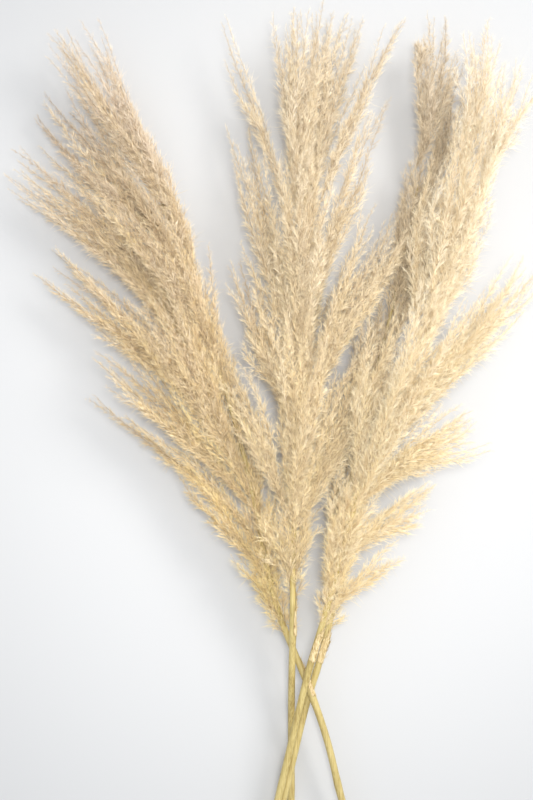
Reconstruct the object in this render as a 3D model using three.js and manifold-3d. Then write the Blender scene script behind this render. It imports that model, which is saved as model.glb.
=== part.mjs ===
// A loose bunch of dried pampas grass, lying on a flat surface. Four cut stems cross near their middle and
// fan out into four feathery plumes. Stems run along +Y, the fan opens along X, and the surface is z = 0.
import * as THREE from 'three';
import { mergeVertices } from 'three/addons/utils/BufferGeometryUtils.js';
import Module from 'manifold-3d';

const wasm = await Module();
wasm.setup();

// Driving dimensions, in millimetres.
const culmLength = 300; // cut end to the foot of the plume
const plumeLength = 700; // foot to tip, measured straight along the bunch
const fanHalfWidth = 300; // sideways reach of the stems from the middle of the fan
const stemDiameter = 8.8; // culm, at the cut end
const footDiameter = 7.8; // culm, where the plume begins
const rachisTipDiameter = 2.2; // the plume's axis, where it ends among the top sprays
const rachisShare = 0.74; // how far up the plume its axis can be followed
const nodeSwelling = 0.9; // how much thicker the culm is at a node
const sprayReach = 100; // the unit of a spray's sideways lean
const plumeDepth = 110; // thickness of one plume, lying down
const sprayGirth = 74; // thickness of a full spray
const sprayFullness = 1.25; // 1 is fullest half way along, less is fuller nearer the rachis
const spraySpring = 1.15; // 1 leans away in a straight line, more leaves the rachis gently
const clearance = 0.35; // air between neighbouring pieces
const sheathClearance = 0.6; // air between a stem and the sheath round it
const sheathThickness = 0.8;
const sheathLength = 52;
const sheathCurl = 5; // how far its tip stands off the stem
const sheathNarrowing = 0.75; // how much of its width it has lost there
const cutSlant = 0.55; // slope of the slanting cut at a stem's end

// Facets of the round pieces.
const stemSides = 8;
const stemRings = 36;
const spraySides = 7;
const sprayRings = 4;
const sheathFolds = 6;

const straw = { color: 0xb8a45c, roughness: 0.6, metalness: 0 };
const papery = { color: 0xa98a4e, roughness: 0.8, metalness: 0 };
const layer = stemDiameter + clearance; // one crossing stem on top of another

// The four stems. `culm` and `rachis` are points that the stem's centre line passes through, as
// [share of the fan's half width, share of the culm's or plume's length, height]. A height is counted in
// stem layers on the culm and in plume depths on the rachis. `nodes` are the culm's nodes, as shares of its
// length. `sheath` is [share of the culm's length, turn about the stem in degrees, width in degrees].
// Each spray is [springs from, length, sideways lean, upward lean, girth]: shares of the plume's length,
// of the spray reach, of half the plume depth and of the spray girth.
const stems = {
  right_front: {
    tint: 0xd9bd7c,
    culm: [[-0.115, 0, 2.9], [-0.042, 0.287, 3.4], [0.061, 0.733, 4.95], [0.103, 0.887, 5.6]],
    rachis: [[0.137, 0, 0.55], [0.23, 0.154, 0.66], [0.363, 0.319, 0.76], [0.537, 0.483, 0.78],
      [0.69, 0.68, 0.72], [0.805, 0.844, 0.62], [0.875, 0.97, 0.52]],
    nodes: [0.36, 0.84],
    sheath: [0.84, 60, 190],
    sprays: [
      [0.18, 0.4, 0.15, 0.72, 1], [0.46, 0.41, -0.2, 0.6, 1], [0.24, 0.36, 0.57, 0.2, 0.8],
      [0.31, 0.36, 0.95, -0.5, 0.85], [0.2, 0.21, 1.02, -0.4, 0.95], [0.09, 0.18, 0.85, -0.3, 0.7],
      [0.01, 0.15, 0.68, 0, 0.46], [0.46, 0.36, 0.14, -0.3, 0.76], [0.66, 0.33, 0.18, 0, 0.68],
      [0.66, 0.37, -0.37, 0.1, 0.75], [0.43, 0.38, -0.5, 0, 0.85], [0.2, 0.34, -0.41, 0, 0.85],
      [0.02, 0.25, -0.18, 0, 0.6],
    ],
  },
  centre: {
    tint: 0xd8bd86,
    culm: [[0.003, 0, 0.5], [0.006, 0.287, 0.85], [0.007, 0.42, 1.3], [0.007, 0.55, 1.9], [0.007, 0.72, 3.6],
      [0.01, 0.867, 5.05]],
    rachis: [[0.012, 0, 0.5], [0.01, 0.064, 0.51], [0.023, 0.214, 0.5], [0.038, 0.351, 0.48],
      [0.047, 0.514, 0.45], [0.057, 0.68, 0.43], [0.083, 0.943, 0.4], [0.093, 1.017, 0.38]],
    nodes: [0.3, 0.93],
    sheath: [0.93, 100, 150],
    sprays: [
      [0.14, 0.38, 0.04, 0.85, 1], [0.4, 0.41, -0.04, 0.85, 1], [0.15, 0.29, -1.01, 0.55, 0.7],
      [0.05, 0.13, -0.36, 0.2, 0.5], [0.05, 0.14, 0.2, 0.1, 0.36], [0.13, 0.32, 0.74, 0.3, 0.95],
      [0.29, 0.38, 1.01, 0.2, 0.98], [0.46, 0.4, 0.93, 0.1, 0.5], [0.6, 0.41, 1.02, 0, 0.32],
      [0.62, 0.39, 0.34, -0.75, 0.85], [0.62, 0.4, -0.12, 0.1, 1], [0.58, 0.41, -1.07, -0.1, 0.36],
      [0.4, 0.41, -0.8, -0.2, 0.72], [0.25, 0.34, -0.72, -0.2, 0.78], [0.3, 0.42, 0.12, -1, 1],
    ],
  },
  left: {
    tint: 0xc9aa78,
    culm: [[0.287, 0, 1.5], [0.196, 0.287, 2.6], [0.157, 0.463, 3.2], [0.103, 0.633, 3.65], [0, 0.887, 3.65]],
    rachis: [[-0.047, 0, 0.34], [-0.107, 0.121, 0.37], [-0.173, 0.253, 0.39], [-0.26, 0.384, 0.39],
      [-0.363, 0.533, 0.39], [-0.498, 0.68, 0.38], [-0.67, 0.829, 0.36], [-0.85, 0.969, 0.34]],
    nodes: [0.34, 0.7],
    sheath: [0.7, 80, 150],
    sprays: [
      [0.2, 0.39, -0.55, 0.8, 1], [0.42, 0.42, -0.43, 0.75, 1], [0, 0.14, -0.28, 0, 0.36],
      [0.05, 0.27, -0.83, 0, 0.5], [0.12, 0.34, -1.5, -0.3, 0.48], [0.19, 0.35, -1.29, 0.3, 0.78],
      [0.29, 0.43, -1.55, -0.25, 0.88], [0.42, 0.49, -1.31, -0.2, 0.98],
      [0.52, 0.46, -0.73, -0.55, 1.05], [0.62, 0.44, -0.04, 0, 0.95],
      [0.5, 0.45, -0.04, 0.15, 0.62], [0.29, 0.44, -0.03, 0.15, 0.7], [0.1, 0.4, 0.13, 0.1, 0.62],
      [0.34, 0.44, -0.81, -0.85, 1],
    ],
  },
  right_back: {
    tint: 0xcbb184,
    culm: [[-0.097, 0, 1.9], [-0.019, 0.287, 2.45], [0.012, 0.42, 2.75], [0.043, 0.55, 2.75],
      [0.061, 0.63, 2.6], [0.107, 0.773, 2.6]],
    rachis: [[0.165, 0, 0.26], [0.21, 0.154, 0.29], [0.287, 0.319, 0.31], [0.403, 0.516, 0.32],
      [0.498, 0.713, 0.32], [0.557, 0.91, 0.31], [0.573, 1, 0.3]],
    nodes: [0.32, 0.8],
    sheath: [0.82, 40, 160],
    sprays: [
      [0.25, 0.33, -0.21, 0.1, 0.8], [0.47, 0.36, 0.03, 0.1, 0.68], [0.06, 0.24, -0.09, 0.1, 0.56],
      [0, 0.1, -0.06, 0.2, 0.32], [0.68, 0.34, 0.01, 0.1, 0.7], [0.7, 0.28, -0.16, 0.2, 0.3],
      [0.12, 0.36, 0.5, -0.25, 0.85], [0.42, 0.36, 0.5, -0.2, 0.95], [0.62, 0.35, 0.45, -0.5, 0.85],
      [0.16, 0.4, 0.03, -0.6, 0.85],
    ],
  },
};

const up = new THREE.Vector3(0, 0, 1);

// The centre line of a stem and its plume, from the cut end to the tip.
function centreLine({ culm, rachis }) {
  const low = culm.map(([x, y, z]) => new THREE.Vector3(x * fanHalfWidth, y * culmLength, z * layer));
  const high = rachis.map(
    ([x, y, z]) => new THREE.Vector3(x * fanHalfWidth, culmLength + y * plumeLength, z * plumeDepth),
  );
  const curve = new THREE.CatmullRomCurve3([...low, ...high], false, 'centripetal');
  curve.arcLengthDivisions = 400;
  return curve;
}

// The place on a line at a distance from its start, with the directions along it, to its right and upwards.
function frameAt(line, distance) {
  const share = THREE.MathUtils.clamp(distance / line.getLength(), 0, 1);
  const point = line.getPointAt(share);
  const along = line.getTangentAt(share);
  point.addScaledVector(along, distance - share * line.getLength());
  const right = new THREE.Vector3().crossVectors(along, up).normalize();
  const rise = new THREE.Vector3().crossVectors(right, along);
  return { point, along, right, rise };
}

// Moves every vertex of a geometry drawn about the Y axis to a place that `place(x, y, z)` gives.
function bend(geometry, place) {
  const position = geometry.attributes.position;
  for (let i = 0; i < position.count; i += 1) {
    const target = place(position.getX(i), position.getY(i), position.getZ(i));
    position.setXYZ(i, target.x, target.y, target.z);
  }
  return geometry;
}

// A closed geometry as a manifold solid.
function solidOf(geometry) {
  const bare = geometry.clone();
  bare.deleteAttribute('normal');
  bare.deleteAttribute('uv');
  const merged = mergeVertices(bare, 1e-4);
  const corners = merged.index.array;
  const triangles = [];
  for (let i = 0; i < corners.length; i += 3) {
    const [a, b, c] = corners.slice(i, i + 3);
    if (a !== b && b !== c && c !== a) triangles.push(a, b, c);
  }
  const mesh = new wasm.Mesh({
    numProp: 3,
    vertProperties: new Float32Array(merged.attributes.position.array),
    triVerts: new Uint32Array(triangles),
  });
  return new wasm.Manifold(mesh);
}

function geometryOf(solid) {
  const mesh = solid.getMesh();
  const geometry = new THREE.BufferGeometry();
  geometry.setAttribute('position', new THREE.BufferAttribute(mesh.vertProperties, 3));
  geometry.setIndex(new THREE.BufferAttribute(mesh.triVerts, 1));
  geometry.computeVertexNormals();
  return geometry;
}

const bunch = new THREE.Group();

function addPiece(name, geometry, look) {
  const piece = new THREE.Mesh(geometry, new THREE.MeshStandardMaterial(look));
  piece.name = name;
  bunch.add(piece);
}

// A stem's radius at a distance from its cut end: it narrows up the culm, swells at each node and runs out
// thin along the plume's axis.
function stemRadius(stem, distance) {
  const upCulm = Math.min(distance / culmLength, 1);
  const upRachis = Math.max(distance - culmLength, 0) / (rachisShare * plumeLength);
  const culm = THREE.MathUtils.lerp(stemDiameter, footDiameter, upCulm);
  const width = THREE.MathUtils.lerp(culm, rachisTipDiameter, Math.min(upRachis, 1) ** 0.8);
  const nodeWidth = 4;
  const swelling = stem.nodes.map((node) => Math.exp(-(((distance - node * culmLength) / nodeWidth) ** 2)));
  return (width + nodeSwelling * Math.max(...swelling)) / 2;
}

// Culm and rachis, one grown piece: a tapering rod bent along the centre line, cut off at a slant. `grow`
// thickens it all round, for cutting its neighbours back.
function stemGeometry(stem, line, grow = 0) {
  const length = culmLength + rachisShare * plumeLength;
  const stations = [];
  for (let i = 0; i <= stemRings; i += 1) stations.push((length * i) / stemRings);
  for (const node of stem.nodes) stations.push(node * culmLength);
  stations.sort((a, b) => a - b);
  const profile = stations.map((y) => new THREE.Vector2(stemRadius(stem, y) + grow, y));
  profile.unshift(new THREE.Vector2(0, 0));
  profile.push(new THREE.Vector2(0, length + grow));
  return bend(new THREE.LatheGeometry(profile, stemSides), (x, y, z) => {
    const { point, along, right, rise } = frameAt(line, y);
    point.addScaledVector(right, x).addScaledVector(rise, z);
    if (y === 0) point.addScaledVector(along, x * cutSlant);
    return point;
  });
}

// The torn remains of a leaf sheath: a thin sheet wrapped part of the way round the stem, which narrows to
// a tongue and curls away from the stem at its upper end.
function sheathGeometry(stem, line, grow = 0) {
  const [station, turn, width] = stem.sheath;
  const sheet = new THREE.BoxGeometry(
    1,
    sheathLength + 2 * grow,
    sheathThickness + 2 * grow,
    sheathFolds,
    sheathFolds,
    1,
  );
  return bend(sheet, (x, y, z) => {
    const share = y / sheathLength + 0.5;
    const distance = station * culmLength + share * sheathLength;
    const inner = stemRadius(stem, distance) + nodeSwelling / 2 + sheathClearance;
    const radius = inner + sheathThickness / 2 + z + sheathCurl * Math.max(share, 0) ** 3;
    const wrap = THREE.MathUtils.degToRad(width * (1 - sheathNarrowing * share ** 2));
    const angle = THREE.MathUtils.degToRad(turn) + x * (wrap + (2 * grow) / radius);
    const { point, right, rise } = frameAt(line, distance);
    point.addScaledVector(right, Math.sin(angle) * radius);
    return point.addScaledVector(rise, Math.cos(angle) * radius);
  });
}

// One spray: it leaves the rachis thin, fills out, and draws to a point as it leans away from the plume's
// centre line.
function sprayGeometry([from, length, lean, lift, girth], line, grow = 0) {
  const reach = length * plumeLength;
  const beyond = (4 * grow) / reach;
  const profile = [new THREE.Vector2(0, -beyond)];
  for (let i = 1; i <= sprayRings; i += 1) {
    const t = i / (sprayRings + 1);
    const fullness = Math.sin(Math.PI * t ** sprayFullness);
    profile.push(new THREE.Vector2((fullness * girth * sprayGirth) / 2 + grow, t));
  }
  profile.push(new THREE.Vector2(0, 1 + beyond));
  return bend(new THREE.LatheGeometry(profile, spraySides), (x, t, z) => {
    const { point, right, rise } = frameAt(line, culmLength + from * plumeLength + reach * t);
    const flare = Math.sign(t) * Math.abs(t) ** spraySpring;
    point.addScaledVector(right, x + lean * sprayReach * flare);
    return point.addScaledVector(rise, z + (lift * plumeDepth * flare) / 2);
  });
}

// What a spray may not enter: the ground, and the pieces already in place, each with its clearance.
const span = 4 * (culmLength + plumeLength);
const ground = new THREE.BoxGeometry(span, span, plumeDepth).translate(0, 0, -plumeDepth / 2);
const taken = [solidOf(ground)];

function touches(a, b) {
  const first = a.boundingBox();
  const second = b.boundingBox();
  return [0, 1, 2].every((i) => first.min[i] < second.max[i] && second.min[i] < first.max[i]);
}

const lines = {};
for (const [name, stem] of Object.entries(stems)) {
  const line = centreLine(stem);
  lines[name] = line;
  addPiece(`${name}_stem`, stemGeometry(stem, line), straw);
  addPiece(`${name}_leaf_sheath`, sheathGeometry(stem, line), papery);
  taken.push(solidOf(stemGeometry(stem, line, clearance)));
  taken.push(solidOf(sheathGeometry(stem, line, clearance)));
}

// Where two sprays would run through each other, the later one in the list gives way to the earlier one,
// and keeps its largest part.
for (const [name, stem] of Object.entries(stems)) {
  stem.sprays.forEach((spray, i) => {
    let solid = solidOf(sprayGeometry(spray, lines[name]));
    for (const other of taken) {
      if (touches(solid, other)) solid = solid.subtract(other);
    }
    const parts = solid.decompose().sort((a, b) => b.volume() - a.volume());
    const number = String(i + 1).padStart(2, '0');
    const look = { color: stem.tint, roughness: 0.9, metalness: 0 };
    addPiece(`${name}_spray_${number}`, geometryOf(parts[0]), look);
    taken.push(solidOf(sprayGeometry(spray, lines[name], clearance)));
  });
}

// The origin is on the surface, under the middle of the whole bunch.
const extent = new THREE.Box3().setFromObject(bunch);
const middle = extent.getCenter(new THREE.Vector3());
bunch.position.set(-middle.x, -middle.y, -extent.min.z);

export default bunch;
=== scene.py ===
import math

import bpy
import numpy as np
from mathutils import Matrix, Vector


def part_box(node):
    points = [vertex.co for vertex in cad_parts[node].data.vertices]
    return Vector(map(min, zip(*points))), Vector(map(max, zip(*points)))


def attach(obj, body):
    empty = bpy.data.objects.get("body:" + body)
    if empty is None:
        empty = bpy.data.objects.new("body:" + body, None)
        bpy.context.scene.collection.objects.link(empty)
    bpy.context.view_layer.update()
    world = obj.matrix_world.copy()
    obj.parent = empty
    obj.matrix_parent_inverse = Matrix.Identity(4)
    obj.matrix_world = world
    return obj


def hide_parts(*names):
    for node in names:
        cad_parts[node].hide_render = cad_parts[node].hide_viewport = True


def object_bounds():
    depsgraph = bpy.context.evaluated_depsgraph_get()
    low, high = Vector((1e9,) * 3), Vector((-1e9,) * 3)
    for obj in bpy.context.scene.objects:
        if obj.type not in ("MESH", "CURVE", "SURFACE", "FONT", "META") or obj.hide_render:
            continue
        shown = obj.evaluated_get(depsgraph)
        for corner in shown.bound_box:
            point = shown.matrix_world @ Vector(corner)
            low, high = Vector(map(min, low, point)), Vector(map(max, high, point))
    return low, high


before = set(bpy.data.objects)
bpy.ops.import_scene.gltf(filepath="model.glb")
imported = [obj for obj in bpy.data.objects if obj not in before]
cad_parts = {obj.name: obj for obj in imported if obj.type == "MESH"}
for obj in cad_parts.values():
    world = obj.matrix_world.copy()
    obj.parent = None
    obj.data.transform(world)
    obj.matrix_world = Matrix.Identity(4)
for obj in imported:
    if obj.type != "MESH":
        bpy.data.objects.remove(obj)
cad_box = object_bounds()

PLUMES = ("left", "centre", "right_front", "right_back")


# ---------------------------------------------------------------------------------------------------------
# The camera looks straight down on the bunch as it lies. Its frame holds the four plumes and runs off the
# lower ends of the stems.
# ---------------------------------------------------------------------------------------------------------
UP_THE_BUNCH = 0.5486  # from the cut end of the centre stem
LEFT_OF_STEM = 0.0235
VIEW_HEIGHT = 2.60
VIEW_SPAN = 0.920  # what the picture's longer side takes in at the plumes' level
PLUME_LEVEL = 0.06
SENSOR = 36.0

camera_data = bpy.data.cameras.new("camera")
camera_data.sensor_width = SENSOR
camera_data.lens = SENSOR * (VIEW_HEIGHT - PLUME_LEVEL) / VIEW_SPAN
camera = bpy.data.objects.new("camera", camera_data)
stem_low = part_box("centre_stem")[0]
camera.location = (stem_low[0] - LEFT_OF_STEM, stem_low[1] + UP_THE_BUNCH, VIEW_HEIGHT)
bpy.context.scene.collection.objects.link(camera)
bpy.context.scene.camera = camera


# ---------------------------------------------------------------------------------------------------------
# A plain pale table top, lit softly from all round. One lamp above throws a wide pool of light on the bunch,
# and a broad one at the right gives the plumes a brighter side.
# ---------------------------------------------------------------------------------------------------------
def place_lamp(lamp_data, place, towards):
    lamp = bpy.data.objects.new(lamp_data.name, lamp_data)
    lamp.location = place
    aim = np.array(towards) - np.array(place)
    lamp.rotation_euler = (
        math.atan2(math.hypot(aim[0], aim[1]), -aim[2]),
        0.0,
        math.atan2(-aim[0], aim[1]),
    )
    bpy.context.scene.collection.objects.link(lamp)


POOL_PLACE, POOL_AIM = (0.2, 0.3, 2.8), (0.03, 0.03, 0.0)
SIDE_PLACE, SIDE_AIM = (1.6, 1.3, 1.6), (0.0, 0.1, 0.0)
HALF_TABLE = 6.0
TABLE_LEVEL = -0.0002

pool = bpy.data.lights.new("pool_lamp", "SPOT")
pool.energy = 212.0
pool.spot_size = math.radians(31)
pool.spot_blend = 1.0
pool.shadow_soft_size = 0.35
pool.color = (1.0, 0.99, 0.97)
place_lamp(pool, POOL_PLACE, POOL_AIM)
side = bpy.data.lights.new("side_lamp", "AREA")
side.shape = "DISK"
side.size = 1.0
side.energy = 38.0
side.color = (1.0, 0.98, 0.95)
place_lamp(side, SIDE_PLACE, SIDE_AIM)

world = bpy.data.worlds.new("studio")
world.use_nodes = True
sky = world.node_tree.nodes["Background"]
sky.inputs["Color"].default_value = (0.96, 0.98, 1.0, 1.0)
sky.inputs["Strength"].default_value = 0.80
bpy.context.scene.world = world
bpy.context.scene.view_settings.view_transform = "Standard"

table_mesh = bpy.data.meshes.new("table_top")
table_corners = [
    (x * HALF_TABLE, y * HALF_TABLE, TABLE_LEVEL) for x, y in ((-1, -1), (1, -1), (1, 1), (-1, 1))
]
table_mesh.from_pydata(table_corners, [], [(0, 1, 2, 3)])
table = bpy.data.objects.new("table_top", table_mesh)
bpy.context.scene.collection.objects.link(table)
table_paint = bpy.data.materials.new("table_paint")
table_paint.use_nodes = True
table_shader = table_paint.node_tree.nodes["Principled BSDF"]
table_shader.inputs["Base Color"].default_value = (0.60, 0.605, 0.615, 1.0)
table_shader.inputs["Roughness"].default_value = 0.9
table_mesh.materials.append(table_paint)


# ---------------------------------------------------------------------------------------------------------
# The four stems. Each is one grown straw: a hard culm with fine lengthwise ribs and slightly swollen nodes,
# cut off at a slant, which thins out into the axis that the plume's branches spring from.
# ---------------------------------------------------------------------------------------------------------
def solid_triangles(node):
    """The corners of a solid's triangles, as an array of n by 3 by 3."""
    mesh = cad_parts[node].data
    mesh.calc_loop_triangles()
    places = np.empty(len(mesh.vertices) * 3)
    mesh.vertices.foreach_get("co", places)
    corners = np.empty(len(mesh.loop_triangles) * 3, dtype=np.int32)
    mesh.loop_triangles.foreach_get("vertices", corners)
    return places.reshape(-1, 3)[corners.reshape(-1, 3)]


def centre_line(node, count, margin=0.02):
    """Points along the middle of a long solid and its half thickness at each, from its lower end upwards."""
    triangles = solid_triangles(node)
    middle = triangles.reshape(-1, 3).mean(axis=0)
    _, _, directions = np.linalg.svd(triangles.reshape(-1, 3) - middle, full_matrices=False)
    lengthwise = directions[0] * np.sign(directions[0][1])  # Y runs from the cut ends to the plumes
    reach = (triangles.reshape(-1, 3) - middle) @ lengthwise
    outward = np.cross(triangles[:, 1] - triangles[:, 0], triangles[:, 2] - triangles[:, 0])
    points, widths = [], []
    for share in np.linspace(margin, 1 - margin, count):
        level = reach.min() + share * np.ptp(reach)
        height = (triangles - middle) @ lengthwise - level
        crossed = (height.min(axis=1) < 0) & (height.max(axis=1) > 0)
        area, moment = 0.0, np.zeros(3)
        for corners, heights, normal in zip(triangles[crossed], height[crossed], outward[crossed]):
            ends = []
            for a, b in ((0, 1), (1, 2), (2, 0)):
                if heights[a] * heights[b] < 0:
                    span = corners[b] - corners[a]
                    ends.append(corners[a] + span * heights[a] / (heights[a] - heights[b]))
            if len(ends) < 2:
                continue
            first, second = ends[0] - middle, ends[1] - middle
            if (second - first) @ np.cross(lengthwise, normal) < 0:
                first, second = second, first
            piece = np.cross(first, second) @ lengthwise / 2
            area += piece
            moment += piece * (first + second) / 3
        if area > 0:
            in_plane = moment / area
            in_plane = in_plane - lengthwise * (in_plane @ lengthwise) + lengthwise * level
            points.append(middle + in_plane)
            widths.append(math.sqrt(area / math.pi))
    return np.array(points), np.array(widths)


def smoothed(values, rounds):
    for _ in range(rounds):
        inner = (values[:-2] + 2 * values[1:-1] + values[2:]) / 4
        values = np.concatenate([values[:1], inner, values[-1:]])
    return values


def along(values, shares):
    """Reads a list of points or numbers at shares of its length, from 0 to 1."""
    at = np.clip(shares, 0, 1) * (len(values) - 1)
    low = np.minimum(at.astype(int), len(values) - 2)
    part = at - low
    if values.ndim == 2:
        part = part[:, None]
    return values[low] * (1 - part) + values[low + 1] * part


def at_share(values, share):
    return along(values, np.array([share]))[0]


def frames_along(points):
    """Unit directions along a line, to its right and upwards, at each point."""
    ahead = np.gradient(points, axis=0)
    ahead /= np.linalg.norm(ahead, axis=1)[:, None]
    right = np.cross(ahead, (0, 0, 1))
    right /= np.linalg.norm(right, axis=1)[:, None]
    return ahead, right, np.cross(right, ahead)


def finished_piece(name, mesh, material, slot, *nodes):
    piece = bpy.data.objects.new(name, mesh)
    bpy.context.scene.collection.objects.link(piece)
    if not mesh.materials:
        mesh.materials.append(material)
    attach(piece, "root")
    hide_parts(*nodes)


def smooth_mesh(name, vertices, faces):
    mesh = bpy.data.meshes.new(name)
    mesh.from_pydata([tuple(v) for v in vertices], [], faces)
    mesh.polygons.foreach_set("use_smooth", [True] * len(mesh.polygons))
    mesh.update()
    return mesh


class Wiring:
    """A node tree being wired up. An input is named, or numbered as i0, i1 and so on."""

    def __init__(self, tree):
        self.tree = tree

    def node(self, kind, _settings=None, **inputs):
        made = self.tree.nodes.new(kind)
        for key, value in (_settings or {}).items():
            setattr(made, key, value)
        for key, value in inputs.items():
            numbered = key[0] == "i" and key[1:].isdigit()
            socket = made.inputs[int(key[1:]) if numbered else key.replace("_", " ")]
            if isinstance(value, bpy.types.NodeSocket):
                self.tree.links.new(value, socket)
            else:
                socket.default_value = value
        return made

    def math(self, operation, *values):
        numbered = {f"i{i}": value for i, value in enumerate(values)}
        return self.node("ShaderNodeMath", {"operation": operation}, **numbered).outputs[0]


def lengthwise_streaks(wiring, stretch, detail):
    """A noise drawn out along the stems."""
    place = wiring.node("ShaderNodeTexCoord").outputs["Object"]
    drawn_out = wiring.node("ShaderNodeMapping", Vector=place, Scale=stretch).outputs["Vector"]
    return wiring.node("ShaderNodeTexNoise", Vector=drawn_out, Scale=1.0, Detail=detail).outputs["Fac"]


def colour_by(wiring, value, dark, usual, pale):
    """Colours a material by a value. Each colour comes with the value that it stands at."""
    ramp = wiring.node("ShaderNodeValToRGB", Fac=value)
    stops = ramp.color_ramp.elements
    for stop, (position, colour) in ((stops[0], dark), (stops[1], pale)):
        stop.position, stop.color = position, colour
    stops.new(usual[0]).color = usual[1]
    base_colour = wiring.tree.nodes["Principled BSDF"].inputs["Base Color"]
    wiring.tree.links.new(ramp.outputs["Color"], base_colour)


STEM_RINGS = 200
RIBS = 18
RIB_DEPTH = 0.00011
FULL_RIBS = 0.004  # on a thinner stem the ribs are shallower too
CUT_SLANT = 0.55
HARD_RIM, PITH = 0.74, 0.66
PITH_DEPTH = 0.0016
TIP_POINT = 0.002

straw = bpy.data.materials.new("straw")
straw.use_nodes = True
straw_shader = straw.node_tree.nodes["Principled BSDF"]
straw_shader.inputs["Roughness"].default_value = 0.5
straw_shader.inputs["Coat Weight"].default_value = 0.15
straw_shader.inputs["Coat Roughness"].default_value = 0.35
grain = Wiring(straw.node_tree)
streaks = lengthwise_streaks(grain, (900.0, 18.0, 900.0), 3.0)
place = grain.node("ShaderNodeTexCoord").outputs["Object"]
patches = grain.node("ShaderNodeTexNoise", Vector=place, Scale=26.0, Detail=4.0).outputs["Fac"]
blend = grain.math("MULTIPLY_ADD", streaks, 0.55, grain.math("MULTIPLY", patches, 0.45))
colour_by(
    grain,
    blend,
    (0.33, (0.30, 0.20, 0.055, 1.0)),
    (0.48, (0.52, 0.41, 0.15, 1.0)),
    (0.66, (0.66, 0.54, 0.24, 1.0)),
)

stem_lines, stem_radii = {}, {}
for plume in PLUMES:
    line, widths = centre_line(f"{plume}_stem", 60, margin=0.012)
    line = smoothed(line, 3)
    start = line[0] - (line[1] - line[0]) * 0.7
    end = line[-1] + (line[-1] - line[-2]) * 0.6
    line = np.vstack([start, line, end])
    widths = np.concatenate([widths[:1], widths, widths[-1:] * 0.5])
    shares = np.linspace(0, 1, STEM_RINGS)
    rings, radii = along(line, shares), along(widths, shares)
    ahead, right, rise = frames_along(rings)
    stem_lines[plume], stem_radii[plume] = rings, radii
    turn = np.arange(2 * RIBS) * math.pi / RIBS
    rib = np.where(np.arange(2 * RIBS) % 2 == 0, 1.0, -1.0) * RIB_DEPTH
    vertices = []
    for i in range(STEM_RINGS):
        reach = radii[i] + rib * min(1.0, radii[i] / FULL_RIBS)
        ring = rings[i] + np.outer(np.cos(turn) * reach, right[i]) + np.outer(np.sin(turn) * reach, rise[i])
        if i == 0:
            ring = ring + np.outer(np.cos(turn) * reach * CUT_SLANT, ahead[i])
        vertices.append(ring)
    # The cut end: a pale rim of hard straw round a soft pith that has dried a little way back.
    for inset, depth in ((HARD_RIM, 0.0), (PITH, PITH_DEPTH)):
        reach = radii[0] * inset
        ring = rings[0] + np.outer(np.cos(turn) * reach, right[0]) + np.outer(np.sin(turn) * reach, rise[0])
        ring = ring + np.outer(np.cos(turn) * reach * CUT_SLANT + depth, ahead[0])
        vertices.insert(0, ring)
    around = 2 * RIBS
    faces = []
    for i in range(len(vertices) - 1):
        for j in range(around):
            k = (j + 1) % around
            faces.append((i * around + j, i * around + k, (i + 1) * around + k, (i + 1) * around + j))
    vertices = np.vstack(vertices)
    heart = vertices[:around].mean(axis=0)
    point = vertices[-around:].mean(axis=0) + ahead[-1] * TIP_POINT
    vertices = np.vstack([vertices, heart, point])
    last = len(vertices) - 2 - around
    for j in range(around):
        k = (j + 1) % around
        faces.append((k, j, len(vertices) - 2))
        faces.append((last + j, last + k, len(vertices) - 1))
    mesh = smooth_mesh(f"{plume}_straw", vertices, faces)
    finished_piece(f"{plume}_straw", mesh, straw, "straw_stem", f"{plume}_stem")


# ---------------------------------------------------------------------------------------------------------
# The leaf sheaths: what is left of the last leaf round each stem, a papery skin with parallel veins that
# hugs the stem and is torn at its mouth.
# ---------------------------------------------------------------------------------------------------------
dry_skin = bpy.data.materials.new("dry_skin")
dry_skin.use_nodes = True
dry_skin.node_tree.nodes["Principled BSDF"].inputs["Roughness"].default_value = 0.7
veins = Wiring(dry_skin.node_tree)
colour_by(
    veins,
    lengthwise_streaks(veins, (800.0, 45.0, 800.0), 4.0),
    (0.34, (0.26, 0.15, 0.05, 1.0)),
    (0.46, (0.62, 0.47, 0.22, 1.0)),
    (0.62, (0.80, 0.66, 0.40, 1.0)),
)

SHEATH_STEPS = 48
SHEATH_VEINS = 41
SHEATH_SKIN = 0.00025
MOST_WRAP = math.pi * 0.94  # each way from its middle, so a slit is always left open
TORN_STRIPS, STRIP_VEINS = 9, 5
SNUG_FIT = 0.0004
EDGE_CURL = 0.0016
MOUTH_CURL = 0.0030
VEIN_HEIGHT, VEIN_WAVES = 0.00016, 58
WRINKLE = 0.0004
FRAY_FIBRES = 46
FIBRE_WIDTH = 0.00035
FIBRE_STEPS = 6
LOWEST_SKIN, LOWEST_FIBRE = 0.0004, 0.0005

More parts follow.
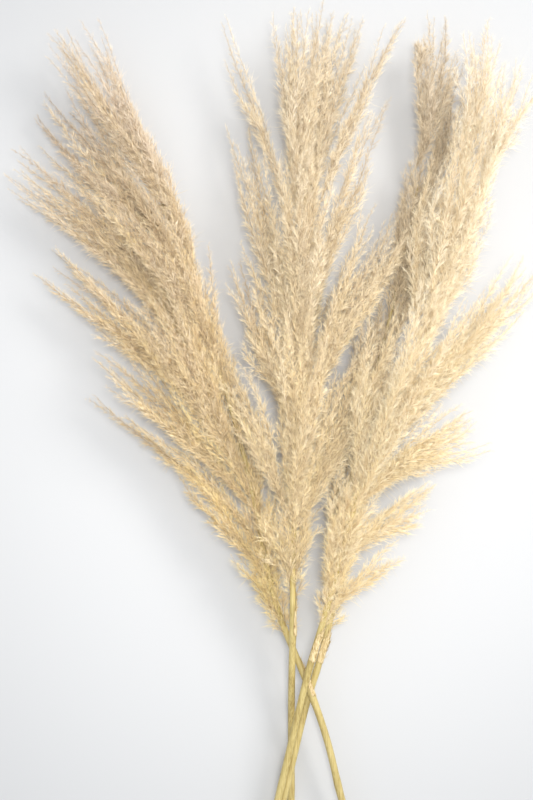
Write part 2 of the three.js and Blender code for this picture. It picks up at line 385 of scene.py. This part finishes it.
tearing = np.random.default_rng(11)
for plume in PLUMES:
    node = f"{plume}_leaf_sheath"
    corners = solid_triangles(node).reshape(-1, 3)
    axis, radii = stem_lines[plume], stem_radii[plume]
    ahead, right, rise = frames_along(axis)
    nearest = np.argmin(np.linalg.norm(corners[:, None] - axis[None], axis=2), axis=1)
    offset = corners - axis[nearest]
    facing = math.atan2((offset * rise[nearest]).sum(), (offset * right[nearest]).sum())
    swung = np.arctan2((offset * rise[nearest]).sum(axis=1), (offset * right[nearest]).sum(axis=1))
    swung = np.abs((swung - facing + math.pi) % (2 * math.pi) - math.pi)
    half_wrap = min(np.percentile(swung, 96) * 1.1, MOST_WRAP)
    low, high = nearest.min() / (len(axis) - 1), nearest.max() / (len(axis) - 1)
    across = np.linspace(-1, 1, SHEATH_VEINS)

    # Its mouth is torn between the veins into strips of uneven length, and its lower edge is nearly whole.
    strip = np.repeat(tearing.uniform(0.55, 1.0, TORN_STRIPS), STRIP_VEINS)[:SHEATH_VEINS]
    mouth = strip * (1 - 0.25 * across**2) + tearing.normal(0, 0.03, SHEATH_VEINS)
    hem = 0.05 * tearing.uniform(0, 1, SHEATH_VEINS) + 0.04 * across**2
    sheet = []
    for step in np.linspace(0, 1, SHEATH_STEPS):
        share = low + (high - low) * (hem + (mouth - hem) * step)
        angle = facing + across * half_wrap * (1 - 0.22 * step**2)
        lift = SNUG_FIT + EDGE_CURL * across**4 * (0.3 + step)
        lift = lift + MOUTH_CURL * np.maximum(step - 0.45, 0) ** 2 * mouth
        lift = lift + VEIN_HEIGHT * np.cos(across * VEIN_WAVES)
        lift = lift + WRINKLE * np.sin(step * 11 + across * 4) * step
        reach = along(radii, share) + np.maximum(lift, SHEATH_SKIN)
        out = along(right, share) * np.cos(angle)[:, None] + along(rise, share) * np.sin(angle)[:, None]
        sheet.append((along(axis, share), out, reach))
    outer = [m + o * (r + SHEATH_SKIN)[:, None] for m, o, r in sheet]
    inner = [m + o * r[:, None] for m, o, r in sheet]
    vertices = np.vstack(outer + inner)
    vertices[:, 2] = np.maximum(vertices[:, 2], LOWEST_SKIN)
    back = SHEATH_STEPS * SHEATH_VEINS
    faces = []
    for i in range(SHEATH_STEPS - 1):
        for k in range(SHEATH_VEINS - 1):
            a, b = i * SHEATH_VEINS + k, i * SHEATH_VEINS + k + 1
            c, d = b + SHEATH_VEINS, a + SHEATH_VEINS
            faces.append((a, b, c, d))
            faces.append((back + d, back + c, back + b, back + a))
    rim = list(range(SHEATH_VEINS))
    rim += [i * SHEATH_VEINS + SHEATH_VEINS - 1 for i in range(1, SHEATH_STEPS)]
    rim += [(SHEATH_STEPS - 1) * SHEATH_VEINS + k for k in range(SHEATH_VEINS - 2, -1, -1)]
    rim += [i * SHEATH_VEINS for i in range(SHEATH_STEPS - 2, 0, -1)]
    for a, b in zip(rim, rim[1:] + rim[:1]):
        faces.append((b, a, back + a, back + b))

    # Loose fibres stand off its torn mouth and its two long edges.
    vertices = list(vertices)
    for _ in range(FRAY_FIBRES):
        at_mouth = tearing.uniform() < 0.5
        k = int(tearing.integers(SHEATH_VEINS)) if at_mouth else int(tearing.choice((0, SHEATH_VEINS - 1)))
        i = SHEATH_STEPS - 1 if at_mouth else int(tearing.integers(SHEATH_STEPS))
        middle, out, reach = sheet[i][0][k], sheet[i][1][k], sheet[i][2][k]
        root = middle + out * reach
        upwards = at_share(ahead, low)
        aside = np.cross(upwards, out) * (1 if k > SHEATH_VEINS // 2 else -1)
        heading = upwards * tearing.uniform(0.3, 1.0) + out * tearing.uniform(0, 0.5)
        heading = heading + aside * tearing.uniform(0, 0.7)
        heading /= np.linalg.norm(heading)
        bend = np.cross(heading, out) * tearing.uniform(-1, 1)
        length = tearing.uniform(0.004, 0.013)
        width = np.cross(heading, out) * FIBRE_WIDTH / 2
        start = len(vertices)
        for step in np.linspace(0, 1, FIBRE_STEPS):
            spot = root + heading * length * step + bend * length * 0.6 * step**2
            spot = spot - out * length * 0.3 * step**2
            spot[2] = max(spot[2], LOWEST_FIBRE)
            vertices.extend([spot + width * (1 - 0.8 * step), spot - width * (1 - 0.8 * step)])
        for step in range(FIBRE_STEPS - 1):
            a = start + 2 * step
            faces.append((a, a + 1, a + 3, a + 2))
    mesh = smooth_mesh(f"{plume}_sheath", vertices, faces)
    finished_piece(f"{plume}_sheath", mesh, dry_skin, "leaf_sheath", node)


# ---------------------------------------------------------------------------------------------------------
# The plumes. Every cluster of branches on a plume's axis is one spray of soft fox-tails. Each branch is
# set all round with short sprigs, and a sprig carries pointed chaffy spikelets and fine silky hairs.
# ---------------------------------------------------------------------------------------------------------
chance = np.random.default_rng(7)
SPRIG_KINDS = 8
SPRIG_LENGTH = 0.010
LEAST_LEAN, LEAN_STEP = 14, 3  # degrees away from the branch
SPIKELETS = 4
SPIKELET_LENGTH = 0.0076
SPIKELET_WIDTH = 0.00054
HAIRS = 5
HAIR_LENGTH = 0.017
HAIR_WIDTH = 0.00026


def unit(vector):
    return vector / np.linalg.norm(vector)


def sprig_mesh(name, tilt):
    """One sprig, rooted at the origin, growing up along Z and leaning towards X. A point's tip value grows on
    the way from root to tip, and its side value is its place across a blade, from -1 to 1."""
    vertices, faces, tips, sides = [], [], [], []

    def add(points, triangles, tip, side):
        faces.extend([tuple(len(vertices) + i for i in t) for t in triangles])
        vertices.extend(points)
        tips.extend(tip)
        sides.extend(side)

    lean = unit(np.array([math.sin(tilt), 0.0, math.cos(tilt)]))
    for i in range(SPIKELETS):
        share = (i + chance.uniform(0.3, 0.9)) / SPIKELETS
        root = lean * SPRIG_LENGTH * share
        swing = (1 if i % 2 else -1) * chance.uniform(0.15, 0.6)
        heading = unit(lean + np.array([chance.uniform(-0.3, 0.4), swing, 0.0]))
        for _ in range(2):
            spread = unit(heading + chance.normal(0, 0.2, 3))
            length = SPIKELET_LENGTH * chance.uniform(0.6, 1.3)
            across = unit(np.cross(spread, chance.normal(0, 1, 3))) * SPIKELET_WIDTH / 2
            fold = unit(np.cross(spread, across)) * SPIKELET_WIDTH * 0.3
            waist = root + spread * length * 0.4
            points = [root, waist + across + fold, waist - across + fold, root + spread * length]
            at = share * 0.4
            tip = [at, at + 0.2, at + 0.2, at + 0.4]
            add(points, [(0, 1, 3), (0, 3, 2)], tip, [0, 1, -1, 0])
    for i in range(HAIRS):
        share = chance.uniform(0.0, 0.9)
        root = lean * SPRIG_LENGTH * share
        heading = unit(lean + chance.normal(0, 0.36, 3))
        length = HAIR_LENGTH * chance.uniform(0.6, 1.3)
        across = unit(np.cross(heading, chance.normal(0, 1, 3))) * HAIR_WIDTH / 2
        middle = root + heading * length * 0.5
        end = root + unit(heading + chance.normal(0, 0.25, 3)) * length
        points = [root + across, root - across, middle + across, middle - across, end]
        at = 0.2 + share * 0.3
        tip = [at, at, at + 0.3, at + 0.3, at + 0.5]
        add(points, [(0, 1, 3), (0, 3, 2), (2, 3, 4)], tip, [1, -1, 1, -1, 0])
    mesh = bpy.data.meshes.new(name)
    mesh.from_pydata([tuple(v) for v in vertices], [], faces)
    mesh.attributes.new("tip", "FLOAT", "POINT").data.foreach_set("value", tips)
    mesh.attributes.new("side", "FLOAT", "POINT").data.foreach_set("value", sides)
    return mesh


sprigs = bpy.data.collections.new("sprigs")
for kind in range(SPRIG_KINDS):
    sprig_name, sprig_tilt = f"sprig_{kind}", math.radians(LEAST_LEAN + LEAN_STEP * kind)
    sprigs.objects.link(bpy.data.objects.new(sprig_name, sprig_mesh(sprig_name, sprig_tilt)))


fluff = bpy.data.node_groups.new("fox_tails", "GeometryNodeTree")
fluff.interface.new_socket("Geometry", in_out="OUTPUT", socket_type="NodeSocketGeometry")
for label, kind in (
    ("Branches", "NodeSocketGeometry"),
    ("Sprigs", "NodeSocketCollection"),
    ("Sprig spacing", "NodeSocketFloat"),
    ("Branch thickness", "NodeSocketFloat"),
    ("Waviness", "NodeSocketFloat"),
    ("Seed", "NodeSocketInt"),
    ("Material", "NodeSocketMaterial"),
):
    fluff.interface.new_socket(label, in_out="INPUT", socket_type=kind)

tails = Wiring(fluff)
given = tails.node("NodeGroupInput").outputs


def stored(geometry, name, value, data_type="FLOAT", domain="POINT"):
    settings = {"data_type": data_type, "domain": domain}
    return tails.node(
        "GeometryNodeStoreNamedAttribute", settings, Geometry=geometry, Name=name, Value=value
    ).outputs[0]


def read(name):
    return tails.node("GeometryNodeInputNamedAttribute", {"data_type": "FLOAT"}, Name=name).outputs[0]


def random_number(low, high):
    return tails.node(
        "FunctionNodeRandomValue", {"data_type": "FLOAT"}, i2=low, i3=high, Seed=given["Seed"]
    ).outputs[1]


THINNING = 0.75
ROD_SIDES = 3
SWAY_SCALE = 75.0
LOWEST_HAIR = 0.0003


# The branches themselves, thinning out to their ends.
curves = tails.node("GeometryNodeMeshToCurve", Mesh=given["Branches"]).outputs[0]
way_up = tails.node("GeometryNodeSplineParameter").outputs["Factor"]
taper = tails.math("MULTIPLY_ADD", way_up, -THINNING, 1.0)
thickness = tails.math("MULTIPLY", taper, given["Branch thickness"])
ring = tails.node("GeometryNodeCurvePrimitiveCircle", Resolution=ROD_SIDES, Radius=1.0).outputs[0]
rods = tails.node("GeometryNodeCurveToMesh", Curve=curves, Profile_Curve=ring, Scale=thickness).outputs[0]
# The rods take nearly the painted root shade of the sprigs.
rods = stored(rods, "tip", 0.1)

# The sprigs stand round each branch, pointing to its tip.
spots = tails.node(
    "GeometryNodeResampleCurve", {"mode": "LENGTH"}, Curve=curves, Length=given["Sprig spacing"]
).outputs[0]
tangent = tails.node("GeometryNodeInputTangent").outputs[0]
facing = tails.node("FunctionNodeAlignRotationToVector", {"axis": "Z"}, Vector=tangent).outputs[0]
turn = tails.node(
    "FunctionNodeAxisAngleToRotation", Axis=(0.0, 0.0, 1.0), Angle=random_number(0.0, 2 * math.pi)
).outputs[0]
facing = tails.node(
    "FunctionNodeRotateRotation", {"rotation_space": "LOCAL"}, Rotation=facing, Rotate_By=turn
).outputs[0]
choice = tails.node(
    "FunctionNodeRandomValue", {"data_type": "INT"}, i4=0, i5=SPRIG_KINDS - 1, Seed=given["Seed"]
).outputs[2]
kinds = tails.node(
    "GeometryNodeCollectionInfo", {"transform_space": "ORIGINAL"}, Collection=given["Sprigs"],
    Separate_Children=True, Reset_Children=True,
).outputs[0]
dressed = tails.node(
    "GeometryNodeInstanceOnPoints", Points=spots, Instance=kinds, Pick_Instance=True, Instance_Index=choice,
    Rotation=facing, Scale=tails.math("MULTIPLY", read("fluff"), random_number(0.7, 1.25)),
).outputs[0]
dressed = stored(dressed, "speck", random_number(-0.5, 0.5), domain="INSTANCE")
loose = tails.node("GeometryNodeRealizeInstances", Geometry=dressed).outputs[0]

# Every tip sways with its neighbours, and nothing goes below the table.
place = tails.node("GeometryNodeInputPosition").outputs[0]
noise = tails.node(
    "ShaderNodeTexNoise", {"noise_dimensions": "3D"}, Vector=place, Scale=SWAY_SCALE, Detail=1.0
)
drift = tails.node(
    "ShaderNodeVectorMath", {"operation": "SUBTRACT"}, i0=noise.outputs["Color"], i1=(0.5, 0.5, 0.5)
)
amount = tails.math("MULTIPLY", read("tip"), given["Waviness"])
drift = tails.node("ShaderNodeVectorMath", {"operation": "SCALE"}, Vector=drift.outputs[0], Scale=amount)
loose = tails.node("GeometryNodeSetPosition", Geometry=loose, Offset=drift.outputs[0]).outputs[0]
both = tails.node("GeometryNodeJoinGeometry")
fluff.links.new(rods, both.inputs[0])
fluff.links.new(loose, both.inputs[0])
apart = tails.node("ShaderNodeSeparateXYZ", Vector=place).outputs
above = tails.math("MAXIMUM", apart[2], LOWEST_HAIR)
settled = tails.node("ShaderNodeCombineXYZ", X=apart[0], Y=apart[1], Z=above).outputs[0]
settled = tails.node("GeometryNodeSetPosition", Geometry=both.outputs[0], Position=settled).outputs[0]

# The colour map: across it the branch's own tone with a little chance, up it the way from root to tip, cut
# short on branches given painted shade so that they stay in the painted root shade.
tone = tails.math("MULTIPLY_ADD", read("speck"), 0.3, read("tone"))
tone = tails.math("MINIMUM", tails.math("MAXIMUM", tone, 0.02), 0.98)
tone = tails.math("MULTIPLY_ADD", read("side"), 0.008, tone)
# A branch's painted light scales how far its sprigs get from the painted root shade.
glow = tails.math("MULTIPLY", read("tip"), read("light"))
glow = tails.math("MULTIPLY_ADD", glow, 0.94, 0.03)
spread_out = tails.node("ShaderNodeCombineXYZ", X=tone, Y=glow, Z=0.0)
mapped = stored(settled, "OFBake", spread_out.outputs[0], "FLOAT2", "CORNER")
finished = tails.node("GeometryNodeSetMaterial", Geometry=mapped, Material=given["Material"]).outputs[0]
tails.node("NodeGroupOutput", Geometry=finished)
tail_inputs = {s.name: s.identifier for s in fluff.interface.items_tree if s.in_out == "INPUT"}

# The colour of dried plume, golden low on the plume and paler towards its top, with painted shade at the root
# of a sprig and on branches deep inside a spray.
PLUME_PARTS = ("Foot", "Shade", "Low", "High", "Tips")

silk = bpy.data.node_groups.new("plume_colour", "ShaderNodeTree")
for label in PLUME_PARTS:
    silk.interface.new_socket(label, in_out="INPUT", socket_type="NodeSocketColor")
silk.interface.new_socket("Color", in_out="OUTPUT", socket_type="NodeSocketColor")
weave = Wiring(silk)
colours = weave.node("NodeGroupInput").outputs
chart = weave.node("ShaderNodeUVMap", {"uv_map": "OFBake"}).outputs[0]
chart = weave.node("ShaderNodeSeparateXYZ", Vector=chart).outputs


def mixed(share, first, second):
    made = weave.node("ShaderNodeMix", {"data_type": "RGBA"})
    silk.links.new(share, made.inputs["Factor"])
    silk.links.new(first, made.inputs["A"])
    silk.links.new(second, made.inputs["B"])
    return made.outputs["Result"]


def eased(value, start, end):
    """How far a value has come from start to end, from 0 to 1, with a soft start and end."""
    settings = {"interpolation_type": "SMOOTHSTEP"}
    return weave.node("ShaderNodeMapRange", settings, Value=value, i1=start, i2=end).outputs[0]


up_the_plume, painted_light_to_tip = chart[0], chart[1]
body = mixed(up_the_plume, colours["Low"], colours["High"])
body = mixed(eased(up_the_plume, 0.05, 0.30), colours["Foot"], body)
# Painted shade: the root of each sprig, and much of a branch given painted shade, takes the Shade colour.
body = mixed(eased(painted_light_to_tip, 0.0, 0.5), colours["Shade"], body)
weave.node("NodeGroupOutput", Color=mixed(eased(painted_light_to_tip, 0.5, 1.0), body, colours["Tips"]))

# Each plume's Foot, Shade, Low, High and Tips colours; the Shade colour is painted shade.
PLUME_COLOURS = {
    "left": (
        (1.0, 0.84, 0.42), (0.38, 0.25, 0.13), (1.0, 0.79, 0.35), (0.90, 0.78, 0.64), (0.98, 0.89, 0.75)
    ),
    "centre": (
        (1.0, 0.86, 0.51), (0.46, 0.32, 0.17), (1.0, 0.83, 0.49), (0.97, 0.87, 0.70), (1.0, 0.95, 0.82)
    ),
    "right_front": (
        (0.98, 0.82, 0.47), (0.68, 0.50, 0.27), (1.0, 0.85, 0.52), (1.0, 0.92, 0.77), (1.0, 0.97, 0.89)
    ),
    "right_back": (
        (0.92, 0.76, 0.42), (0.38, 0.27, 0.15), (0.90, 0.74, 0.44), (0.89, 0.78, 0.62), (0.96, 0.88, 0.73)
    ),
}


def silk_material(plume):
    material = bpy.data.materials.new(f"{plume}_silk")
    material.use_nodes = True
    shader = material.node_tree.nodes["Principled BSDF"]
    shader.inputs["Roughness"].default_value = 0.72
    shader.inputs["Sheen Weight"].default_value = 0.25
    shader.inputs["Sheen Roughness"].default_value = 0.45
    group = material.node_tree.nodes.new("ShaderNodeGroup")
    group.node_tree = silk
    for label, colour in zip(PLUME_PARTS, PLUME_COLOURS[plume]):
        group.inputs[label].default_value = (*colour, 1.0)
    material.node_tree.links.new(group.outputs["Color"], shader.inputs["Base Color"])
    return material


BRANCH_STEPS = 14
SPRIG_SPACING = 0.003
BRANCH_THICKNESS = 0.0005
WAVINESS = 0.0065
LOWEST_BRANCH = 0.004
TOP_ROOM = 0.002  # between the highest branch and the top of the solids


def grown(name, branches, plume, material, nodes):
    """Dresses branches as one piece. Each has its points, the sizes of its sprigs, its tones and its painted
    light, which below 1 keeps its sprigs in the painted root shade."""
    points, edges, fluffs, tones, lights = [], [], [], [], []
    for line, swell, tone, light in branches:
        start = len(points)
        line[:, 2] = np.clip(line[:, 2], LOWEST_BRANCH, cad_box[1][2] - TOP_ROOM)
        points.extend(line)
        edges.extend((start + i, start + i + 1) for i in range(len(line) - 1))
        fluffs.extend(swell)
        tones.extend(np.clip(tone, 0, 1))
        lights.extend([light] * len(line))
    mesh = bpy.data.meshes.new("branches")
    mesh.from_pydata([tuple(p) for p in points], edges, [])
    mesh.attributes.new("fluff", "FLOAT", "POINT").data.foreach_set("value", fluffs)
    mesh.attributes.new("tone", "FLOAT", "POINT").data.foreach_set("value", tones)
    mesh.attributes.new("light", "FLOAT", "POINT").data.foreach_set("value", lights)
    base = bpy.data.objects.new("branches", mesh)
    bpy.context.scene.collection.objects.link(base)
    growth = base.modifiers.new("fox_tails", "NODES")
    growth.node_group = fluff
    growth[tail_inputs["Sprigs"]] = sprigs
    growth[tail_inputs["Sprig spacing"]] = SPRIG_SPACING
    growth[tail_inputs["Branch thickness"]] = BRANCH_THICKNESS
    growth[tail_inputs["Waviness"]] = WAVINESS
    growth[tail_inputs["Seed"]] = int(chance.integers(10000))
    growth[tail_inputs["Material"]] = material
    depsgraph = bpy.context.evaluated_depsgraph_get()
    dressed_mesh = bpy.data.meshes.new_from_object(base.evaluated_get(depsgraph))
    bpy.data.objects.remove(base)
    for label in ("fluff", "tone", "light", "tip", "side", "speck"):
        if label in dressed_mesh.attributes:
            dressed_mesh.attributes.remove(dressed_mesh.attributes[label])
    dressed_mesh.name = name
    finished_piece(name, dressed_mesh, material, f"{plume}_plume", *nodes)


def set_round(j):
    """The angle of the jth of many things that stand evenly all round."""
    return j * math.pi * (3 - math.sqrt(5))


def plume_tone(line, foot, top):
    """Golden low on the plume, paler towards its top, and each branch a little its own."""
    return np.clip((line[:, 1] - foot) / (top - foot), 0, 1) * 0.72 + chance.uniform(0, 0.28)


WISP_ROOM = 0.0098
THICKEST_SPRAY = 0.036
UNDERSIDE, UNDERSIDE_CROWD = 0.030, 0.65
SPREAD, THIN = 1.13, 0.82
WANDER = 0.006
FOX_TAIL = (0, 0.2, 0.5, 0.8, 1), (0.55, 0.95, 1.0, 0.72, 0.3)  # the size of the sprigs up a branch
TUFT = (0, 0.3, 0.7, 1), (0.6, 1.0, 0.8, 0.35)
TUFTS_BELOW = 0.020
TUFT_STEP = 0.009
FOOT_SHARE = 0.22
FOOT_TUFT_STEP = 0.0028
LAST_TUFT = 0.97
TUFT_POINTS = 7
TUFT_LENGTH = 0.055
TUFT_BEND = 0.006

for plume in PLUMES:
    material = silk_material(plume)
    sprays = sorted(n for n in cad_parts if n.startswith(f"{plume}_spray"))
    foot = min(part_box(n)[0][1] for n in sprays)
    top = max(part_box(n)[1][1] for n in sprays)
    for node in sprays:
        line, widths = centre_line(node, 24, margin=0.03)
        line = smoothed(line, 4)
        line = np.vstack([line[0] - (line[1] - line[0]) * 0.7, line, line[-1] + (line[-1] - line[-2]) * 0.7])
        _, right, rise = frames_along(line)
        full = min(np.percentile(widths, 85), THICKEST_SPRAY)
        crowd = UNDERSIDE_CROWD if line[:, 2].mean() < UNDERSIDE else 1.0
        count = max(6, round((full / WISP_ROOM) ** 2 * math.pi * crowd))
        spin = chance.uniform(0, 2 * math.pi)
        branches = []
        for j in range(count):
            out = math.sqrt(0.08 + 0.92 * (j + 0.3) / count)
            angle = spin + set_round(j)
            first = chance.uniform(0, 0.35) * out
            last = 1.06 - 0.47 * chance.uniform(0, 1) ** 1.3 - 0.08 * out
            s = np.linspace(0, 1, BRANCH_STEPS)
            t = first + (last - first) * s
            away = full * out * (0.75 * np.sin(s * math.pi / 2) + 0.35 * s**2)
            wander = WANDER * s**1.5
            sideways = SPREAD * away * math.cos(angle) + wander * np.sin(s * 5 + chance.uniform(0, 6))
            upwards = THIN * away * math.sin(angle) + wander * np.sin(s * 4 + chance.uniform(0, 6))
            branch = along(line, t) + along(right, t) * sideways[:, None] + along(rise, t) * upwards[:, None]
            beyond = np.maximum(t - 1, 0)[:, None] * np.linalg.norm(line[-1] - line[0])
            branch = branch + beyond * unit(line[-1] - line[-4])
            swell = np.interp(s, *FOX_TAIL) * chance.uniform(0.85, 1.15)
            # Branches deep inside a spray get painted shade: their sprigs keep more of the painted root
            # shade.
            light = min(1.0, 0.34 + 0.62 * out + chance.uniform(-0.14, 0.14))
            branches.append((branch, swell, plume_tone(branch, foot, top), light))
        grown(node.replace("spray", "foxtails"), branches, plume, material, [node])

    # Short tufts clothe the axis itself, from just under the lowest spray up, thickest at the foot.
    axis = stem_lines[plume]
    axis = axis[axis[:, 1] > foot - TUFTS_BELOW]
    run = np.linalg.norm(np.diff(axis, axis=0), axis=1).sum()
    ahead, right, rise = frames_along(axis)
    crowded = np.arange(0, FOOT_SHARE, FOOT_TUFT_STEP / run)
    spaced = np.arange(FOOT_SHARE, LAST_TUFT, TUFT_STEP / run)
    branches = []
    for j, share in enumerate(np.concatenate([crowded, spaced])):
        angle = set_round(j)
        out = at_share(right, share) * math.cos(angle) + at_share(rise, share) * math.sin(angle)
        tilt = math.radians(chance.uniform(8, 20))
        length = TUFT_LENGTH * chance.uniform(0.7, 1.3) * min(1.0, 0.4 + share * 5)
        heading = at_share(ahead, share) * math.cos(tilt) + out * math.sin(tilt)
        s = np.linspace(0, 1, TUFT_POINTS)[:, None]
        branch = at_share(axis, share) + heading * length * s + out * TUFT_BEND * np.sin(s * math.pi / 2)
        swell = np.interp(s[:, 0], *TUFT)
        tone = plume_tone(branch, foot, top)
        # Each tuft gets a random share of painted light, so some keep more of the painted root shade.
        branches.append((branch, swell, tone, chance.uniform(0.6, 1.0)))
    grown(f"{plume}_axis_tufts", branches, plume, material, [])
